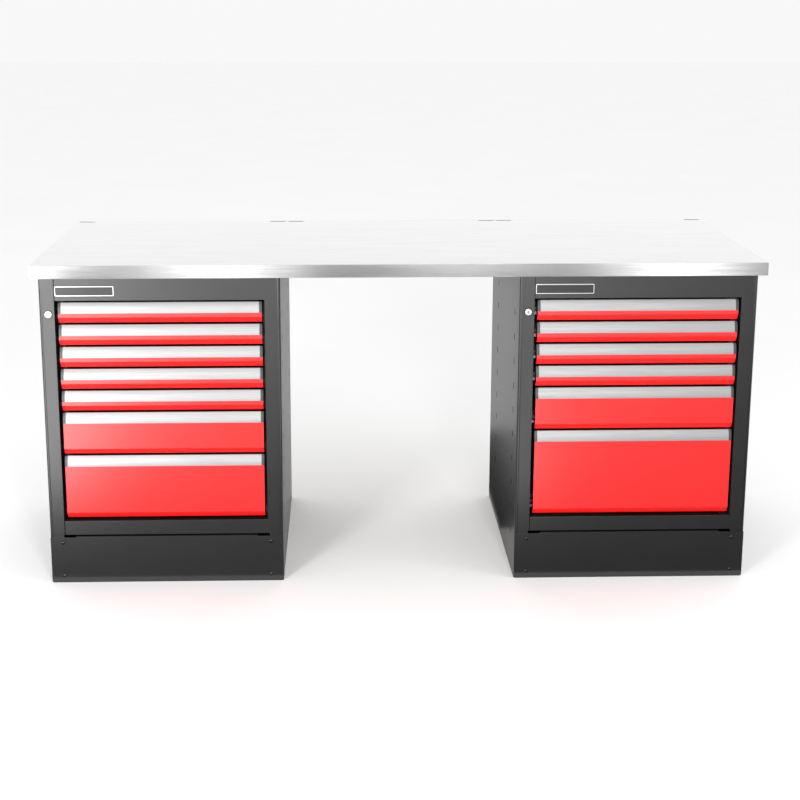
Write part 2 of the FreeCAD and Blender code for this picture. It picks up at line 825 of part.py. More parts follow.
def drawer_front(side, number, floor, height):
    """The painted front: a flat face, a facet that falls back below it, and a fold at head and foot."""
    wall = D["front_sheet"]
    foot = D["front_foot_gap"]
    knee = foot + D["facet_height"]
    head = height - D["handle_top_gap"] - D["handle_height"]
    back, facet, rise = D["handle_depth"], D["facet_depth"], D["facet_height"]
    # The facet's inner face lies one sheet inside its outer one, so the bends' inner corners do too.
    slant = root(facet * facet + rise * rise)
    profile = [
        (ZERO, head),
        (ZERO, knee),
        (facet, foot),
        (back, foot),
        (back, foot + wall),
        (facet + wall * (slant - facet) / rise, foot + wall),
        (wall, knee + wall * (slant - rise) / facet),
        (wall, head - wall),
        (back, head - wall),
        (back, head),
    ]
    left = D["stile"] + D["front_side_gap"]
    body = new_body(f"drawer_front_{side}_{number}", *inside(side, left, ZERO, floor))
    width = D["bay_width"] - left * 2
    pad(body, "profile", "YZ_Plane", 0, width, [profile])
    return body


def handle_outline(sketch, height):
    """The grip rail's section: a lip that curves back, a channel floor and a wall against the tray."""
    wall, lean, proud = D["handle_wall"], D["handle_lean"], D["handle_proud"]
    head = height - D["handle_top_gap"]
    foot = head - D["handle_height"]
    back = D["handle_depth"]
    points = [
        (-proud, foot),
        (lean - proud, head),
        (lean - proud + wall, head),
        (wall - proud, foot + wall),
        (back - wall, foot + wall),
        (back - wall, foot + D["handle_back_height"]),
        (back, foot + D["handle_back_height"]),
        (back, foot),
    ]
    # The lip's two faces are arcs: each starts upright at its foot and leans back towards its head.
    lip_faces = (0, 2)
    ends = []
    for index, point in enumerate(points):
        following = points[(index + 1) % len(points)]
        a = FreeCAD.Vector(point[0].value, point[1].value, 0)
        b = FreeCAD.Vector(following[0].value, following[1].value, 0)
        if index not in lip_faces:
            ends.append((sketch.addGeometry(Part.LineSegment(a, b), False), 1, 2))
            continue
        front_foot = FreeCAD.Vector(min(a.x, b.x), (a.y + b.y) / 2, 0)
        arc, meets = short_arc(a, b, lip_radius(points, index).value, front_foot)
        ends.append((sketch.addGeometry(arc, False), *meets))
    close_outline(sketch, points, ends)
    for index in lip_faces:
        set_radius(sketch, ends[index][0], lip_radius(points, index))


def lip_radius(points, index):
    """The radius of a circle that is upright at one end of a run that rises and leans."""
    rise = points[index + 1][1] - points[index][1]
    lean = points[index + 1][0] - points[index][0]
    return (rise * rise + lean * lean) / (magnitude(lean) * 2)


def drawer_handle(side, number, floor, height):
    """The full-width aluminium grip rail, gripped from above through the channel behind its lip."""
    left = D["stile"] + D["front_side_gap"] + D["handle_inset"]
    body = new_body(f"drawer_handle_{side}_{number}", *inside(side, left, ZERO, floor))
    feature = body.newObject("PartDesign::Pad", f"{body.Label}_rail")
    sketch = new_sketch(body, "rail", "YZ_Plane", 0)
    handle_outline(sketch, height)
    feature.Profile = sketch
    feature.setExpression("Length", (D["bay_width"] - left * 2).text)
    doc.recompute()
    return body


# ---------------------------------------------------------------- lock
def lock_cylinder(side):
    """The key cylinder with the cam and pin behind it that lift the lock bar."""
    x, z = D["lock_in"], LOCK_HEIGHT
    head = D["lock_head_proud"]
    barrel_end = D["lock_barrel_length"]
    front = inside(side, x, -head, z)
    behind_head = inside(side, x, -head / 2, z)
    behind_barrel = inside(side, x, barrel_end, z)
    on_cam = inside(side, x + D["cam_throw"], barrel_end, z)
    pin = D["cam_thickness"] + D["pin_length"]
    pieces = [
        rod(f"lock_head_{side}", front, D["lock_head_radius"], head, "y"),
        rod(f"lock_barrel_{side}", behind_head, D["lock_barrel_radius"], head / 2 + barrel_end, "y"),
        rod(f"lock_cam_{side}", behind_barrel, D["cam_radius"], D["cam_thickness"], "y"),
        rod(f"lock_pin_{side}", on_cam, D["pin_radius"], pin, "y"),
    ]
    return join(f"lock_cylinder_{side}", pieces)


def lock_bar(side):
    """The flat bar behind the pillar, with a lug for each drawer and a cross slot for the cam's pin."""
    left, right = D["bar_left"], D["bar_left"] + D["bar_width"]
    foot, head = OPENING_FOOT + D["bar_foot_gap"], OPENING_HEAD - D["bar_head_gap"]
    body = new_body(f"lock_bar_{side}", *inside(side, ZERO, ZERO, ZERO))
    pad(body, "flat", "XZ_Plane", D["bar_front"], D["bar_sheet"], [rectangle(left, foot, right, head)])
    lugs = []
    for own_side, _, floor, _ in drawer_slots():
        if own_side == side:
            rise = floor + D["lug_rise"]
            lugs.append(rectangle(right - OVERRUN, rise, right + D["lug_reach"], rise + D["lug_height"]))
    pad(body, "lugs", "XZ_Plane", D["bar_front"], D["bar_sheet"], lugs)
    reach = D["pin_radius"] + D["pin_play_side"]
    half = D["pin_radius"] + D["pin_play_height"]
    far = D["lock_in"] + D["cam_throw"] + reach
    slot = rectangle(D["lock_in"] - reach, LOCK_HEIGHT - half, far, LOCK_HEIGHT + half)
    cut(body, "pin_slot", "XZ_Plane", D["bar_front"], D["bar_sheet"], [slot])
    return body


# ---------------------------------------------------------------- screws
def screws():
    """The plinth covers' screws, and those that hold the worktop down from inside the cabinets."""
    radius, head = D["screw_shank_radius"], D["screw_head_height"]
    pieces = []
    for side in STACKS:
        for number, (x, z) in enumerate(plinth_screw_places()):
            name = f"plinth_screw_{side}_{number}"
            cap = rod(f"{name}_head", inside(side, x, -head, z), D["screw_head_radius"], head, "y")
            shank_foot = inside(side, x, -head / 2, z)
            shank = rod(f"{name}_shank", shank_foot, radius, D["plinth_screw_length"] + head / 2, "y")
            pieces.append(join(name, [cap, shank]))
    deck_foot = CABINET_HEAD - D["sheet"]
    for number, (x, y) in enumerate(worktop_screw_places()):
        name = f"worktop_screw_{number}"
        cap = rod(f"{name}_head", (x, y, deck_foot - head), D["screw_head_radius"], head)
        shank = rod(f"{name}_shank", (x, y, deck_foot - head / 2), radius, D["worktop_screw_length"])
        pieces.append(join(name, [cap, shank]))
    return group("casing_screws", pieces)


# ---------------------------------------------------------------- the whole bench
def build():
    """Make every node of the bench, in the order in which it would be put together."""
    nodes = [worktop_core(), worktop_skin(), back_panels(), deck_panels(), uprights(), slide_runners()]
    for side in STACKS:
        inner = "right" if side == "left" else "left"
        for hand in ("left", "right"):
            place_name = "inner" if hand == inner else "outer"
            nodes.append(side_panel(side, hand, f"side_panel_{side}_{place_name}"))
        nodes += [front_frame(side), lock_pillar(side), plinth_cover(side)]
        nodes += [lock_cylinder(side), lock_bar(side)]
    nodes.append(screws())
    for side, number, floor, height in drawer_slots():
        nodes.append(tray(side, number, floor, height))
        nodes.append(drawer_front(side, number, floor, height))
        nodes.append(drawer_handle(side, number, floor, height))
    return nodes


def check(nodes):
    """Stop if anything in the document failed, or if a node isn't made of valid solids."""
    for item in doc.Objects:
        if "Invalid" in item.State or "Error" in item.State:
            raise RuntimeError(f"{item.Label}: {item.State}")
    for node in nodes:
        shape = node.Shape
        if shape.isNull() or not shape.isValid() or not shape.Solids:
            raise RuntimeError(f"{node.Label} is not a valid solid")


def write(nodes):
    os.makedirs("parts", exist_ok=True)
    for node in nodes:
        node.Shape.exportStep(f"parts/{node.Label}.step")
        print(f"{node.Label}: {len(node.Shape.Solids)} solids, {node.Shape.Volume / 1000:.1f} cm3")


made = build()
doc.recompute()
check(made)
write(made)
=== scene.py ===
import json
import math

import bmesh
import bpy
from mathutils import Euler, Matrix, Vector

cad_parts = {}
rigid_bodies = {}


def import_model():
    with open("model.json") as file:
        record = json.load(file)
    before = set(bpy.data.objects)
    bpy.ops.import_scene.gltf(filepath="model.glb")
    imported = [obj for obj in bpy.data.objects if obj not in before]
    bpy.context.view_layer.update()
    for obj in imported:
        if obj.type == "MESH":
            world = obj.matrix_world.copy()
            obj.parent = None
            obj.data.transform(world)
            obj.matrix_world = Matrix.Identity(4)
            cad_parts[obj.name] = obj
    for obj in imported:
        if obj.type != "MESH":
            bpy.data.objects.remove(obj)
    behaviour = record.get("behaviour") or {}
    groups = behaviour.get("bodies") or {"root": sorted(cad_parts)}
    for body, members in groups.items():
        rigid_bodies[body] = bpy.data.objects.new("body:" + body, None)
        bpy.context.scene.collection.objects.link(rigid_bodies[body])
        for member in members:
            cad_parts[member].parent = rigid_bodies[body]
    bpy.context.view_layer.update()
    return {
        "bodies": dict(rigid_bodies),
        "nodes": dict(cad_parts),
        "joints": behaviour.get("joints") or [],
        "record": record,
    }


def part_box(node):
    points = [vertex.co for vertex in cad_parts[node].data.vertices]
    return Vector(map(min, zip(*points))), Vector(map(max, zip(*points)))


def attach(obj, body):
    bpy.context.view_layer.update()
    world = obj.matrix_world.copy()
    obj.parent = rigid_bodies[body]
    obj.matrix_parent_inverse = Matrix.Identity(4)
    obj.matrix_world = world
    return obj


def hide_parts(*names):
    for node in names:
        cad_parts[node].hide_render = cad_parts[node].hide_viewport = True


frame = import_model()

# A workbench with two drawer cabinets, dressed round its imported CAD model. Metres throughout, with
# the drawers facing -Y. Nearly every CAD node is shown as a finer copy of itself with rounded edges.

SLOT_OF = {part["node"]: part["material_slot"] for part in frame["record"]["subparts"]}
SIDES = ("left", "right")
DRAWERS = [name for name in frame["bodies"] if name.startswith("drawer_")]
MM = 0.001


# ---------------------------------------------------------------- materials
# Noise seldom leaves this part of its 0 to 1 range.
NOISE_REACH = (0.25, 0.75)
PAINT_SPECULAR = 0.75


def principled(name, colour, roughness, metallic=0.0):
    """A new material; returns it with its node tree and its shader."""
    material = bpy.data.materials.new(name)
    material.use_nodes = True
    tree = material.node_tree
    shader = tree.nodes["Principled BSDF"]
    shader.inputs["Base Color"].default_value = (*colour, 1)
    shader.inputs["Roughness"].default_value = roughness
    shader.inputs["Metallic"].default_value = metallic
    material.diffuse_color = (*colour, 1)
    return material, tree, shader


def add(tree, kind, links=(), **values):
    """A new node, with its properties set by name and its links made as (socket, source)."""
    node = tree.nodes.new(kind)
    for key, value in values.items():
        setattr(node, key, value)
    for socket, source in links:
        tree.links.new(source, node.inputs[socket])
    return node


def position(tree, stretch=(1, 1, 1)):
    """The point's place on the object in metres, stretched along each axis."""
    coordinates = add(tree, "ShaderNodeTexCoord")
    mapping = add(tree, "ShaderNodeMapping", [("Vector", coordinates.outputs["Object"])])
    mapping.inputs["Scale"].default_value = stretch
    return mapping.outputs["Vector"]


def noise(tree, scale, detail=3.0, stretch=(1, 1, 1), roughness=0.5):
    made = add(tree, "ShaderNodeTexNoise", [("Vector", position(tree, stretch))])
    made.inputs["Scale"].default_value = scale
    made.inputs["Detail"].default_value = detail
    made.inputs["Roughness"].default_value = roughness
    return made.outputs["Fac"]


def spread(tree, source, low, high):
    """Turn a noise value into one from low to high."""
    made = add(tree, "ShaderNodeMapRange", [("Value", source)])
    made.inputs["From Min"].default_value, made.inputs["From Max"].default_value = NOISE_REACH
    made.inputs["To Min"].default_value = low
    made.inputs["To Max"].default_value = high
    return made.outputs["Result"]


def blend_colours(tree, factor, first, second):
    made = add(tree, "ShaderNodeMix", data_type="RGBA")
    tree.links.new(factor, made.inputs["Factor"])
    made.inputs["A"].default_value = (*first, 1)
    made.inputs["B"].default_value = (*second, 1)
    return made.outputs["Result"]


def bump(tree, shader, height, depth):
    made = add(tree, "ShaderNodeBump", [("Height", height)])
    made.inputs["Distance"].default_value = depth
    tree.links.new(made.outputs["Normal"], shader.inputs["Normal"])


def powder_coat(name, colour, lighter, roughness, grain, depth):
    """Baked paint: an orange-peel skin, a faint cloud in the colour and an uneven gloss."""
    material, tree, shader = principled(name, colour, roughness)
    shader.inputs["Specular IOR Level"].default_value = PAINT_SPECULAR
    cloud = noise(tree, 7.0)
    tree.links.new(blend_colours(tree, cloud, colour, lighter), shader.inputs["Base Color"])
    gloss = noise(tree, 90.0, detail=4.0)
    tree.links.new(spread(tree, gloss, roughness * 0.95, roughness * 1.05), shader.inputs["Roughness"])
    bump(tree, shader, noise(tree, grain, detail=2.0), depth)
    return material


def brushed(name, colour, lighter, roughness, streaks, depth, metallic=1.0):
    """Metal with fine streaks along its length, in its colour, gloss and relief."""
    material, tree, shader = principled(name, colour, roughness, metallic)
    lines = noise(tree, streaks, detail=5.0, stretch=(0.01, 1, 1), roughness=0.65)
    bands = noise(tree, streaks / 8, detail=3.0, stretch=(0.03, 1, 1), roughness=0.6)
    total = add(tree, "ShaderNodeMath", [(0, lines), (1, bands)], operation="ADD")
    mean = add(tree, "ShaderNodeMath", [(0, total.outputs[0])], operation="MULTIPLY")
    mean.inputs[1].default_value = 0.5
    streaked = mean.outputs[0]
    tone = spread(tree, streaked, 0.0, 1.0)
    tree.links.new(blend_colours(tree, tone, colour, lighter), shader.inputs["Base Color"])
    tree.links.new(spread(tree, streaked, roughness * 1.25, roughness * 0.75), shader.inputs["Roughness"])
    bump(tree, shader, lines, depth)
    return material


def zinc(name):
    """Zinc plate: soft patches of slightly different grey."""
    material, tree, shader = principled(name, (0.2, 0.205, 0.215), 0.48, metallic=1.0)
    patches = add(tree, "ShaderNodeTexVoronoi", [("Vector", position(tree))])
    patches.inputs["Scale"].default_value = 160.0
    colour = blend_colours(tree, patches.outputs["Distance"], (0.13, 0.135, 0.14), (0.24, 0.245, 0.25))
    tree.links.new(colour, shader.inputs["Base Color"])
    tree.links.new(spread(tree, noise(tree, 60.0), 0.3, 0.46), shader.inputs["Roughness"])
    bump(tree, shader, noise(tree, 900.0), 0.02 * MM)
    return material


def board(name):
    """Pressed board seen at its cut edge: pale chips and darker gaps."""
    material, tree, shader = principled(name, (0.52, 0.40, 0.26), 0.8)
    chips = add(tree, "ShaderNodeTexVoronoi", [("Vector", position(tree, (0.4, 0.4, 1)))])
    chips.inputs["Scale"].default_value = 420.0
    colour = blend_colours(tree, chips.outputs["Distance"], (0.66, 0.54, 0.38), (0.36, 0.26, 0.15))
    tree.links.new(colour, shader.inputs["Base Color"])
    bump(tree, shader, chips.outputs["Distance"], 0.25 * MM)
    return material


def moulded(name, colour, roughness):
    """Plastic with a fine spark-eroded grain."""
    material, tree, shader = principled(name, colour, roughness)
    grain = noise(tree, 1600.0, detail=2.0)
    tree.links.new(spread(tree, grain, roughness * 0.85, roughness * 1.15), shader.inputs["Roughness"])
    lighter = tuple(min(channel * 1.5, 1) for channel in colour)
    tree.links.new(blend_colours(tree, noise(tree, 25.0), colour, lighter), shader.inputs["Base Color"])
    bump(tree, shader, grain, 0.03 * MM)
    return material


def polished(name, colour, roughness):
    """Plated metal with faint hairlines."""
    material, tree, shader = principled(name, colour, roughness, metallic=1.0)
    hairs = noise(tree, 700.0, detail=4.0, stretch=(1, 1, 0.1))
    tree.links.new(spread(tree, hairs, roughness * 0.7, roughness * 1.4), shader.inputs["Roughness"])
    lighter = tuple(min(channel * 1.12, 1) for channel in colour)
    tree.links.new(blend_colours(tree, hairs, colour, lighter), shader.inputs["Base Color"])
    bump(tree, shader, hairs, 0.0006 * MM)
    return material


MATERIALS = {
    "anthracite_paint": powder_coat(
        "anthracite_powder_coat", (0.006, 0.0061, 0.0065), (0.009, 0.0091, 0.0096), 0.37, 650.0, 0.05 * MM
    ),
    "red_paint": powder_coat(
        "red_powder_coat", (0.58, 0.0016, 0.0010), (0.64, 0.0022, 0.0014), 0.34, 520.0, 0.04 * MM
    ),
    "tray_paint": powder_coat(
        "tray_powder_coat", (0.014, 0.0143, 0.015), (0.020, 0.0204, 0.021), 0.46, 700.0, 0.05 * MM
    ),
    "anodised_aluminium": brushed(
        "anodised_aluminium", (0.27, 0.27, 0.275), (0.34, 0.34, 0.34), 0.5, 1500.0, 0.010 * MM, 0.7
    ),
    "stainless": brushed(
        "brushed_stainless", (0.47, 0.47, 0.475), (0.58, 0.58, 0.585), 0.17, 1100.0, 0.012 * MM
    ),
    "board": board("pressed_board"),
    "zinc_plate": zinc("zinc_plate"),
    "chromed_lock": polished("chromed_lock", (0.62, 0.62, 0.63), 0.32),
    "black_steel": polished("blackened_steel", (0.05, 0.05, 0.055), 0.36),
}
CAP_PLASTIC = moulded("cap_plastic", (0.022, 0.023, 0.025), 0.42)
# Near-black painted shade, for the keyway's inside and for the ring round each lock's head.
LOCK_PAINTED_SHADE = moulded("lock_painted_shade", (0.004, 0.004, 0.0045), 0.5)
PLATE_FACE = moulded("plate_face", (0.012, 0.012, 0.013), 0.30)
PLATE_RIM = polished("plate_rim", (0.66, 0.66, 0.67), 0.42)


# ---------------------------------------------------------------- mesh helpers
WELD_DISTANCE = 0.001 * MM
FLAT_ANGLE = math.radians(0.5)
SHARP_ANGLE = math.radians(30)
ROUND_SIDES = 32


def to_object(name, bm, material, smooth_angle=35):
    """Turn a bmesh into a linked object with one material and smooth shading up to an angle."""
    bmesh.ops.recalc_face_normals(bm, faces=bm.faces)
    mesh = bpy.data.meshes.new(name)
    bm.to_mesh(mesh)
    bm.free()
    mesh.materials.append(material)
    finish_shading(mesh, smooth_angle)
    piece = bpy.data.objects.new(name, mesh)
    bpy.context.scene.collection.objects.link(piece)
    return piece


def finish_shading(mesh, smooth_angle):
    mesh.shade_smooth()
    mesh.set_sharp_from_angle(angle=math.radians(smooth_angle))


def round_edges(piece, width, segments=2):
    """Round the sharp edges for good, with the flat faces kept flat in their shading."""
    modifier = piece.modifiers.new("rounding", "BEVEL")
    modifier.width = width
    modifier.segments = segments
    modifier.limit_method = "ANGLE"
    modifier.angle_limit = SHARP_ANGLE
    modifier.harden_normals = True
    modifier.use_clamp_overlap = True
    evaluated = piece.evaluated_get(bpy.context.evaluated_depsgraph_get())
    mesh = bpy.data.meshes.new_from_object(evaluated)
    piece.modifiers.clear()
    piece.data = mesh


def join_triangles(bm):
    """Weld a CAD mesh and merge the triangles of each flat face."""
    bmesh.ops.remove_doubles(bm, verts=bm.verts, dist=WELD_DISTANCE)
    bmesh.ops.dissolve_limit(
        bm, angle_limit=FLAT_ANGLE, verts=bm.verts, edges=bm.edges, use_dissolve_boundaries=False
    )


def body_of(node):
    return next(body for body, empty in frame["bodies"].items() if frame["nodes"][node].parent == empty)


def refine(node, width, segments=2):
    """Stand a finer copy with rounded edges in for a CAD node, in the node's own material."""
    bm = bmesh.new()
    bm.from_mesh(frame["nodes"][node].data)
    join_triangles(bm)
    slot = SLOT_OF[node]
    piece = to_object(f"{node}_formed", bm, MATERIALS[slot])
    round_edges(piece, width, segments)
    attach(piece, body_of(node))
    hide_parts(node)


def keep(node):
    """Show a CAD node as it is, in its own material."""
    mesh = frame["nodes"][node].data
    mesh.materials.clear()
    mesh.materials.append(MATERIALS[SLOT_OF[node]])


def place(piece, body):
    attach(piece, body)


def prism(bm, outline, axis, start, end):
    """A solid whose outline, given as pairs, runs along an axis from start to end."""
    others = [index for index in range(3) if index != axis]

    def corner(pair, along):
        point = [0.0, 0.0, 0.0]
        point[others[0]], point[others[1]] = pair
        point[axis] = along
        return bm.verts.new(point)

    near = [corner(pair, start) for pair in outline]
    far = [corner(pair, end) for pair in outline]
    bm.faces.new(near)
    bm.faces.new(far)
    count = len(outline)
    for index in range(count):
        following = (index + 1) % count
        bm.faces.new((near[index], near[following], far[following], far[index]))


def slab(bm, low, high):
    outline = [(low[0], low[1]), (high[0], low[1]), (high[0], high[1]), (low[0], high[1])]
    prism(bm, outline, 2, low[2], high[2])


def ring_points(centre, radius, count, first=0.0):
    """Points evenly round a circle, as pairs."""
    turn = math.tau / count
    points = []
    for index in range(count):
        angle = first + turn * index
        points.append((centre[0] + radius * math.cos(angle), centre[1] + radius * math.sin(angle)))
    return points


def lathe(bm, centre, profile, count=ROUND_SIDES):
    """Turn a profile of (radius, y) pairs round an axis along Y through centre (x, z)."""
    rings = []
    for radius, y in profile:
        ring = [bm.verts.new((x, y, z)) for x, z in ring_points(centre, radius, count)]
        rings.append(ring)
    for inner, outer in zip(rings, rings[1:]):
        for index in range(count):
            following = (index + 1) % count
            bm.faces.new((inner[index], inner[following], outer[following], outer[index]))
    return rings


# ---------------------------------------------------------------- casing
SHEET_ROUNDING = 0.6 * MM
PILLAR_ROUNDING = 0.9 * MM
HIDDEN_SHEET_ROUNDING = 0.35 * MM
BAR_ROUNDING = 0.4 * MM
RUNNER_ROUNDING = 0.3 * MM

for node in ("back_panels", "deck_panels"):
    refine(node, HIDDEN_SHEET_ROUNDING)
for side in SIDES:
    for node in (f"side_panel_{side}_outer", f"side_panel_{side}_inner", f"front_frame_{side}"):
        refine(node, SHEET_ROUNDING)
    refine(f"lock_pillar_{side}", PILLAR_ROUNDING)
    refine(f"plinth_cover_{side}", SHEET_ROUNDING)
    refine(f"lock_bar_{side}", BAR_ROUNDING)
refine("uprights", BAR_ROUNDING)
refine("slide_runners", RUNNER_ROUNDING)
refine("worktop_skin", SHEET_ROUNDING, segments=3)
keep("worktop_core")


# ---------------------------------------------------------------- drawers
FRONT_LEAN = 8.5 * MM
CAP_WIDTH = 8.6 * MM
CAP_ROUNDING = 1.0 * MM
CAP_BACK_SHARE = 0.62
CAP_TOP_WIDTH = 3.2 * MM
CAP_BACK_WIDTH = 4 * MM
LIP_STEPS = 8


def end_caps(drawer):
    """A moulded cap closing each end of the grip rail, with the rail's own curved outline."""
    handle = drawer.replace("drawer_", "drawer_handle_")
    low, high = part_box(handle)
    rise = high.z - low.z
    steps = [index / LIP_STEPS for index in range(LIP_STEPS + 1)]
    front = [(low.y + FRONT_LEAN * step**2, low.z + rise * step) for step in steps]
    back_high = low.z + rise * CAP_BACK_SHARE
    outline = [
        *front,
        (front[-1][0] + CAP_TOP_WIDTH, high.z),
        (high.y - CAP_BACK_WIDTH, back_high),
        (high.y, back_high),
        (high.y, low.z),
    ]
    for end, start, stop in (("left", low.x - CAP_WIDTH, low.x), ("right", high.x, high.x + CAP_WIDTH)):
        bm = bmesh.new()
        prism(bm, outline, 0, start, stop)
        piece = to_object(f"{handle}_cap_{end}", bm, CAP_PLASTIC)
        round_edges(piece, CAP_ROUNDING, 3)
        place(piece, drawer)


RIB_PITCH = 25 * MM
RIB_WIDTH = 2.4 * MM
RIB_DEPTH = 1.2 * MM
RIB_HEAD_GAP = 2 * MM
RIM_WIDTH = 3.2 * MM
RIM_HEIGHT = 2.6 * MM
RIM_ROUNDING = 1.0 * MM
TRAY_HALF = 290.5 * MM
TRAY_WALL = 1.5 * MM
TRAY_FLOOR = 1.5 * MM


def tray_fittings(drawer):
    """Partition ribs inside the four walls, and a rolled rim on top of them."""
    tray = drawer.replace("drawer_", "drawer_tray_")
    handle_low, handle_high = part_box(drawer.replace("drawer_", "drawer_handle_"))
    low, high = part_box(tray)
    centre = (handle_low.x + handle_high.x) / 2
    x0, x1 = centre - TRAY_HALF, centre + TRAY_HALF
    y0, y1 = low.y, high.y
    foot, head = low.z + TRAY_FLOOR, high.z
    rib_head, half = head - RIB_HEAD_GAP, RIB_WIDTH / 2
    ribs = bmesh.new()
    across = int((x1 - x0) / RIB_PITCH) - 1
    along = int((y1 - y0) / RIB_PITCH) - 1
    first_x = centre - RIB_PITCH * (across - 1) / 2
    first_y = (y0 + y1) / 2 - RIB_PITCH * (along - 1) / 2
    for index in range(across):
        x = first_x + RIB_PITCH * index
        for start in (y0 + TRAY_WALL, y1 - TRAY_WALL - RIB_DEPTH):
            slab(ribs, (x - half, start, foot), (x + half, start + RIB_DEPTH, rib_head))
    for index in range(along):
        y = first_y + RIB_PITCH * index
        for start in (x0 + TRAY_WALL, x1 - TRAY_WALL - RIB_DEPTH):
            slab(ribs, (start, y - half, foot), (start + RIB_DEPTH, y + half, rib_head))
    piece = to_object(f"{tray}_ribs", ribs, MATERIALS["tray_paint"])
    place(piece, drawer)
    rim = bmesh.new()
    bottom, top = head - RIM_HEIGHT / 2, head + RIM_HEIGHT / 2
    slab(rim, (x0, y0 + RIM_WIDTH, bottom), (x0 + RIM_WIDTH, y1 - RIM_WIDTH, top))
    slab(rim, (x1 - RIM_WIDTH, y0 + RIM_WIDTH, bottom), (x1, y1 - RIM_WIDTH, top))
    slab(rim, (x0, y0, bottom), (x1, y0 + RIM_WIDTH, top))
    slab(rim, (x0, y1 - RIM_WIDTH, bottom), (x1, y1, top))
    piece = to_object(f"{tray}_rim", rim, MATERIALS["tray_paint"])
    round_edges(piece, RIM_ROUNDING, 3)
    place(piece, drawer)


TRAY_ROUNDING = 0.4 * MM
FRONT_ROUNDING = 0.5 * MM
HANDLE_ROUNDING = 0.6 * MM

for drawer in DRAWERS:
    refine(drawer.replace("drawer_", "drawer_tray_"), TRAY_ROUNDING)
    refine(drawer.replace("drawer_", "drawer_front_"), FRONT_ROUNDING, segments=3)
    refine(drawer.replace("drawer_", "drawer_handle_"), HANDLE_ROUNDING, segments=3)
    end_caps(drawer)
    tray_fittings(drawer)


# ---------------------------------------------------------------- locks
LOCK_ROUNDING = 0.5 * MM
LOCK_HEAD_RADIUS = 10.25 * MM
LOCK_HEAD_GAP = 0.3 * MM
# The ring round each lock's head is painted shade: a near-black solid standing in for the shade round the
# head.
SHADE_RING_RADIUS = 13.0 * MM
SHADE_RING_SLOPE = 1 * MM
SHADE_RING_HEIGHT = 1.2 * MM
PLUG_RADIUS = 6.2 * MM
PLUG_HEIGHT = 0.7 * MM
KEYWAY = (1.5 * MM, 4.0 * MM)
KEYWAY_DEPTH = 2.0 * MM


def keyed_plug(name, centre, y):
    """The turning plug: a low disc with a keyway sunk into it, whose inside is painted near-black as
    shade.
    """
    bm = bmesh.new()
    rim = ring_points(centre, PLUG_RADIUS, ROUND_SIDES, math.pi / 4)
    front = y - PLUG_HEIGHT
    inside = []
    half_x, half_z = KEYWAY
    corners = [(half_x, half_z), (-half_x, half_z), (-half_x, -half_z), (half_x, -half_z)]
    mouth = [bm.verts.new((centre[0] + dx, front, centre[1] + dz)) for dx, dz in corners]
    sunk = [bm.verts.new((centre[0] + dx, front + KEYWAY_DEPTH, centre[1] + dz)) for dx, dz in corners]
    edge = [bm.verts.new((x, front, z)) for x, z in rim]
    foot = [bm.verts.new((x, y, z)) for x, z in rim]
    quarter = len(rim) // 4
    for side in range(4):
        run = [edge[(side * quarter + step) % len(rim)] for step in range(quarter + 1)]
        bm.faces.new([mouth[side], *run, mouth[(side + 1) % 4]])
        after = (side + 1) % 4
        inside.append(bm.faces.new((mouth[side], mouth[after], sunk[after], sunk[side])))
    inside.append(bm.faces.new(sunk))
    # The keyway's walls and floor take the near-black painted shade.
    for face in inside:
        face.material_index = 1
    for index in range(len(rim)):
        after = (index + 1) % len(rim)
        bm.faces.new((edge[index], edge[after], foot[after], foot[index]))
    bm.faces.new(foot)
    piece = to_object(name, bm, MATERIALS["chromed_lock"], smooth_angle=30)
    piece.data.materials.append(LOCK_PAINTED_SHADE)
    return piece


def painted_shade_ring(name, centre, inner, y):
    """A near-black ring that the lock's head sits in: painted shade round the head."""
    bm = bmesh.new()
    front = y - SHADE_RING_HEIGHT
    profile = [(inner, y), (inner, front), (SHADE_RING_RADIUS - SHADE_RING_SLOPE, front), (SHADE_RING_RADIUS, y)]
    rings = lathe(bm, centre, profile)
    count = len(rings[0])
    for index in range(count):
        following = (index + 1) % count
        bm.faces.new((rings[-1][index], rings[-1][following], rings[0][following], rings[0][index]))
    return to_object(name, bm, LOCK_PAINTED_SHADE, smooth_angle=30)


for side in SIDES:
    node = f"lock_cylinder_{side}"
    refine(node, LOCK_ROUNDING, segments=3)
    joint = next(entry for entry in frame["joints"] if entry["name"] == f"lock_{side}_turn")
    x, y, z = joint["pos_m"]
    head_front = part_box(node)[0].y
    plug = keyed_plug(f"lock_plug_{side}", (x, z), head_front)
    place(plug, f"lock_{side}")
    # A ring of painted shade round the head.
    ring = painted_shade_ring(f"lock_painted_shade_ring_{side}", (x, z), LOCK_HEAD_RADIUS + LOCK_HEAD_GAP, y)
    place(ring, "casing")


# ---------------------------------------------------------------- screws
SOCKET_RADIUS = 2.3 * MM
SOCKET_DEPTH = 1.8 * MM
SOCKET_CHAMFER = 0.3 * MM
HEXAGON_RADIUS = SOCKET_RADIUS * 0.94
SCREW_SHANK = 3.0 * MM
SCREW_HEAD = 6.0 * MM
SCREW_HEAD_HEIGHT = 3.0 * MM
SCREW_SIDES = 24


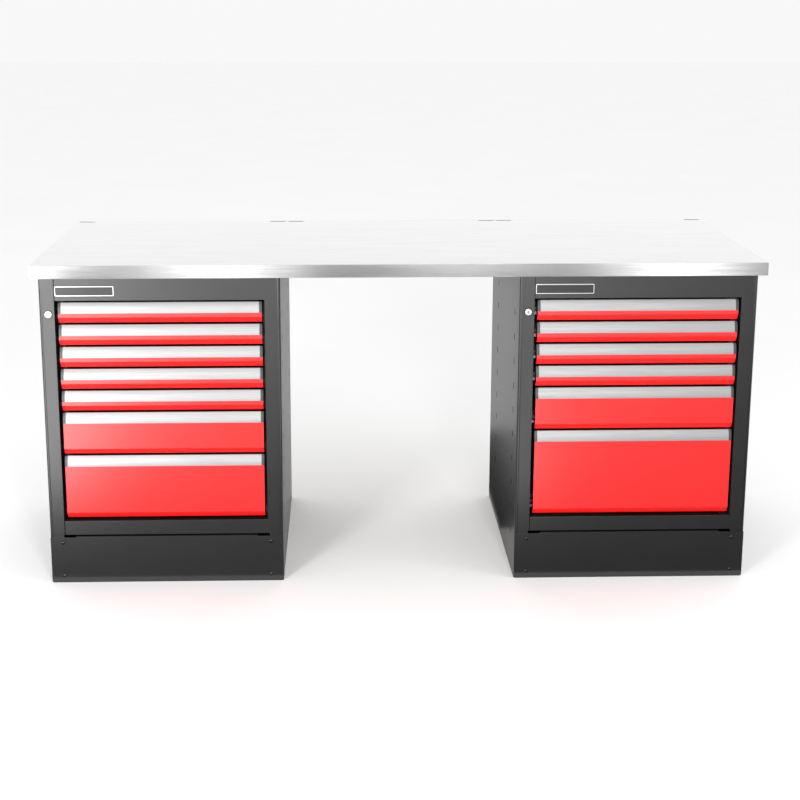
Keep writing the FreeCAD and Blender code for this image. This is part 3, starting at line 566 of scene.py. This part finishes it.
def button_head(bm, x, y, z, shank_length):
    """A domed screw head against a face that looks along -Y, with a hexagon socket and its shank."""
    domed = [
        (SCREW_HEAD, y),
        (SCREW_HEAD * 0.97, y - SCREW_HEAD_HEIGHT * 0.35),
        (SCREW_HEAD * 0.82, y - SCREW_HEAD_HEIGHT * 0.72),
        (SCREW_HEAD * 0.58, y - SCREW_HEAD_HEIGHT * 0.95),
    ]
    under = [(SCREW_SHANK, y + shank_length), (SCREW_SHANK, y), *domed]
    rings = lathe(bm, (x, z), under, SCREW_SIDES)
    bm.faces.new(rings[0])
    front = y - SCREW_HEAD_HEIGHT
    mouth = [bm.verts.new((a, front, b)) for a, b in ring_points((x, z), SOCKET_RADIUS, SCREW_SIDES)]
    for index in range(SCREW_SIDES):
        following = (index + 1) % SCREW_SIDES
        bm.faces.new((rings[-1][index], rings[-1][following], mouth[following], mouth[index]))
    corners = ring_points((x, z), HEXAGON_RADIUS, 6)
    hexagon = [bm.verts.new((a, front + SOCKET_CHAMFER, b)) for a, b in corners]
    floor = [bm.verts.new((a, front + SOCKET_DEPTH, b)) for a, b in corners]
    step = SCREW_SIDES // 6
    for index in range(6):
        following = (index + 1) % 6
        run = [mouth[(index * step + count) % SCREW_SIDES] for count in range(step + 1)]
        bm.faces.new([*run, hexagon[following], hexagon[index]])
        bm.faces.new((hexagon[index], hexagon[following], floor[following], floor[index]))
    bm.faces.new(floor)


def hexagon_head(bm, x, y, z, shank_length):
    """A hexagon screw head under a face that looks down, with its shank going up."""
    prism(bm, ring_points((x, y), SCREW_HEAD, 6), 2, z - SCREW_HEAD_HEIGHT, z)
    prism(bm, ring_points((x, y), SCREW_SHANK, 12), 2, z, z + shank_length)


def islands(mesh):
    """The lowest and highest corner of each separate solid in a mesh."""
    bm = bmesh.new()
    bm.from_mesh(mesh)
    bmesh.ops.remove_doubles(bm, verts=bm.verts, dist=WELD_DISTANCE)
    left = set(bm.verts)
    boxes = []
    while left:
        front = [left.pop()]
        found = []
        while front:
            vert = front.pop()
            found.append(vert.co.copy())
            for edge in vert.link_edges:
                other = edge.other_vert(vert)
                if other in left:
                    left.remove(other)
                    front.append(other)
        low = Vector(min(point[axis] for point in found) for axis in range(3))
        high = Vector(max(point[axis] for point in found) for axis in range(3))
        boxes.append((low, high))
    bm.free()
    return sorted(boxes, key=lambda corners: tuple(corners[0]))


def casing_screws():
    """Every screw of the casing, where the CAD model has it, with a real head."""
    bm = bmesh.new()
    for low, high in islands(frame["nodes"]["casing_screws"].data):
        middle = (low + high) / 2
        size = high - low
        if size.y > size.z * 1.05:
            seat = low.y + SCREW_HEAD_HEIGHT
            button_head(bm, middle.x, seat, middle.z, high.y - seat)
        else:
            seat = low.z + SCREW_HEAD_HEIGHT
            hexagon_head(bm, middle.x, middle.y, seat, high.z - seat)
    piece = to_object("casing_screws_turned", bm, MATERIALS["black_steel"], smooth_angle=30)
    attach(piece, "casing")
    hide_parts("casing_screws")


casing_screws()


# ---------------------------------------------------------------- blank plates on the headers
HEADER_HEIGHT = 74 * MM
PLATE_OFFSET = (1.5 * MM, 15 * MM)
PLATE_SIZE = (178 * MM, 30 * MM)
PLATE_CORNER = 2.5 * MM
PLATE_RISE = 1.6 * MM
PLATE_ROUNDING = 0.4 * MM
PLATE_BORDER = 2.0 * MM
PLATE_STEPS = 5
PANEL_RISE = 0.4 * MM
PANEL_SINK = 0.2 * MM
PANEL_ROUNDING = 0.15 * MM


def rounded_rectangle(low, high, radius):
    """A rectangle's outline as pairs, with its corners rounded."""
    centres = [
        (high[0] - radius, high[1] - radius, 0),
        (low[0] + radius, high[1] - radius, 1),
        (low[0] + radius, low[1] + radius, 2),
        (high[0] - radius, low[1] + radius, 3),
    ]
    points = []
    for x, z, quarter in centres:
        for step in range(PLATE_STEPS + 1):
            angle = math.pi / 2 * (quarter + step / PLATE_STEPS)
            points.append((x + radius * math.cos(angle), z + radius * math.sin(angle)))
    return points


def blank_plate(side):
    """A plain plate with a bright border, level with the header's lower part and without any mark."""
    frame_low, frame_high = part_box(f"front_frame_{side}")
    face = frame_low.y
    header_foot = frame_high.z - HEADER_HEIGHT
    low = (frame_low.x + PLATE_OFFSET[0], header_foot + PLATE_OFFSET[1])
    high = (low[0] + PLATE_SIZE[0], low[1] + PLATE_SIZE[1])
    rim = bmesh.new()
    prism(rim, rounded_rectangle(low, high, PLATE_CORNER), 1, face - PLATE_RISE, face)
    piece = to_object(f"plate_rim_{side}", rim, PLATE_RIM)
    round_edges(piece, PLATE_ROUNDING, 2)
    place(piece, "casing")
    inner_low = (low[0] + PLATE_BORDER, low[1] + PLATE_BORDER)
    inner_high = (high[0] - PLATE_BORDER, high[1] - PLATE_BORDER)
    panel = bmesh.new()
    outline = rounded_rectangle(inner_low, inner_high, PLATE_CORNER - PLATE_BORDER / 2)
    prism(panel, outline, 1, face - PLATE_RISE - PANEL_RISE, face - PLATE_RISE + PANEL_SINK)
    piece = to_object(f"plate_face_{side}", panel, PLATE_FACE)
    round_edges(piece, PANEL_ROUNDING, 2)
    place(piece, "casing")


for side in SIDES:
    blank_plate(side)


# ---------------------------------------------------------------- floor, light and camera
FLOOR_REACH = 30
# West, south, east and north edge of each cloth, and the height that they lie at.
FLAGS = ((-4.5, -5.2, 4.5, -0.36), (0.05, 0.0, 0.36, 1.0))
FLAG_HEIGHT = 0.012
# How far along Y, and how far up, the surround's brightness changes.
SKY_TURN = (-0.1, 0.7)
SKY_RISE = (0.1, 0.9)
SEEN_SKY = 0.94
LENS = 56.6
SENSOR_WIDTH = 36
CAMERA_SHIFT = (0.04, -0.21)
CAMERA_PLACE = (-0.181, -4.075, 1.833)
CAMERA_PITCH = math.radians(10.76)
CAMERA_YAW = math.radians(1.27)


def studio_floor():
    """A wide pale floor without gloss."""
    material, tree, shader = principled("studio_floor", (0.86, 0.86, 0.86), 0.55)
    shader.inputs["Specular IOR Level"].default_value = 0.0
    tint = blend_colours(tree, noise(tree, 1.5), (0.85, 0.85, 0.85), (0.88, 0.88, 0.88))
    tree.links.new(tint, shader.inputs["Base Color"])
    bm = bmesh.new()
    corners = [(-1, -1), (1, -1), (1, 1), (-1, 1)]
    bm.faces.new([bm.verts.new((x * FLOOR_REACH, y * FLOOR_REACH, 0)) for x, y in corners])
    piece = to_object("studio_floor", bm, material)


def dark_flags():
    """Black cloths on the floor that only reflections see, so that low gloss stays off the bench."""
    material, tree, shader = principled("flag_cloth", (0.012, 0.012, 0.012), 0.95)
    weave = noise(tree, 300.0)
    shade = blend_colours(tree, weave, (0.008, 0.008, 0.008), (0.016, 0.016, 0.016))
    tree.links.new(shade, shader.inputs["Base Color"])
    bm = bmesh.new()
    for west, south, east, north in FLAGS:
        corners = [(west, south), (east, south), (east, north), (west, north)]
        bm.faces.new([bm.verts.new((x, y, FLAG_HEIGHT)) for x, y in corners])
    piece = to_object("flag_cloth", bm, material)
    for ray in ("camera", "diffuse", "transmission", "shadow", "volume_scatter"):
        setattr(piece, f"visible_{ray}", False)


def soft_box(name, place_at, aim_at, size, power):
    """A rectangular soft light aimed at a point, unseen by the camera. Its power is in watts."""
    light = bpy.data.lights.new(name, "AREA")
    light.shape = "RECTANGLE"
    light.size, light.size_y = size
    light.energy = power
    lamp = bpy.data.objects.new(name, light)
    lamp.location = place_at
    lamp.rotation_euler = (Vector(aim_at) - Vector(place_at)).to_track_quat("-Z", "Y").to_euler()
    lamp.visible_camera = False
    bpy.context.scene.collection.objects.link(lamp)


def sky(front, back, overhead):
    """A soft surround: dimmer in front of the bench than behind it, and an even pale to the camera."""
    world = bpy.data.worlds.new("studio")
    world.use_nodes = True
    tree = world.node_tree
    around = add(tree, "ShaderNodeTexCoord").outputs["Generated"]
    direction = add(tree, "ShaderNodeSeparateXYZ", [(0, around)])
    level = add(tree, "ShaderNodeMapRange", [("Value", direction.outputs["Y"])])
    level.inputs["From Min"].default_value, level.inputs["From Max"].default_value = SKY_TURN
    level.inputs["To Min"].default_value = front
    level.inputs["To Max"].default_value = back
    strength = add(tree, "ShaderNodeMapRange", [("Value", direction.outputs["Z"])])
    strength.inputs["From Min"].default_value, strength.inputs["From Max"].default_value = SKY_RISE
    tree.links.new(level.outputs[0], strength.inputs["To Min"])
    strength.inputs["To Max"].default_value = overhead
    camera_ray = add(tree, "ShaderNodeLightPath").outputs["Is Camera Ray"]
    seen = add(tree, "ShaderNodeMix", [("Factor", camera_ray)])
    tree.links.new(strength.outputs[0], seen.inputs["A"])
    seen.inputs["B"].default_value = SEEN_SKY
    tree.links.new(seen.outputs["Result"], tree.nodes["Background"].inputs["Strength"])
    tree.nodes["Background"].inputs["Color"].default_value = (1, 1, 1, 1)
    bpy.context.scene.world = world


def studio_light():
    sky(0.22, 1.35, 1.25)
    soft_box("left_box", (-2.75, -4.3, 1.15), (-0.9, -0.35, 0.6), (1.0, 2.2), 200)
    soft_box("right_box", (0.6, -4.3, 1.6), (0.5, -0.35, 0.7), (0.6, 2.2), 85)
    soft_box("left_low_box", (-1.62, -1.9, 0.03), (-1.62, -1.9, 2.0), (0.9, 1.8), 36)
    soft_box("right_low_box", (0.26, -1.9, 0.03), (0.26, -1.9, 2.0), (0.5, 1.8), 15)
    soft_box("edge_box", (3.4, -1.6, 1.1), (0.4, 0, 0.6), (0.7, 2.0), 25)
    for name, x, aim_x in (("left", -0.905, -0.54), ("right", 1.9, 0.87)):
        soft_box(f"{name}_strip", (x, -4.2, 0.19), (aim_x, -0.37, 1.0), (0.4, 0.34), 1.1)
        soft_box(f"{name}_wide_strip", (x, -4.25, 0.19), (aim_x, -0.37, 1.0), (1.0, 0.34), 1.6)


def studio_camera():
    camera = bpy.data.cameras.new("studio_camera")
    camera.lens = LENS
    camera.sensor_width = SENSOR_WIDTH
    camera.shift_x, camera.shift_y = CAMERA_SHIFT
    view = bpy.data.objects.new("studio_camera", camera)
    view.location = CAMERA_PLACE
    view.rotation_euler = Euler((math.pi / 2 - CAMERA_PITCH, 0, -CAMERA_YAW))
    bpy.context.scene.collection.objects.link(view)
    bpy.context.scene.camera = view


studio_floor()
dark_flags()
studio_light()
studio_camera()
bpy.context.scene.view_settings.view_transform = "Standard"
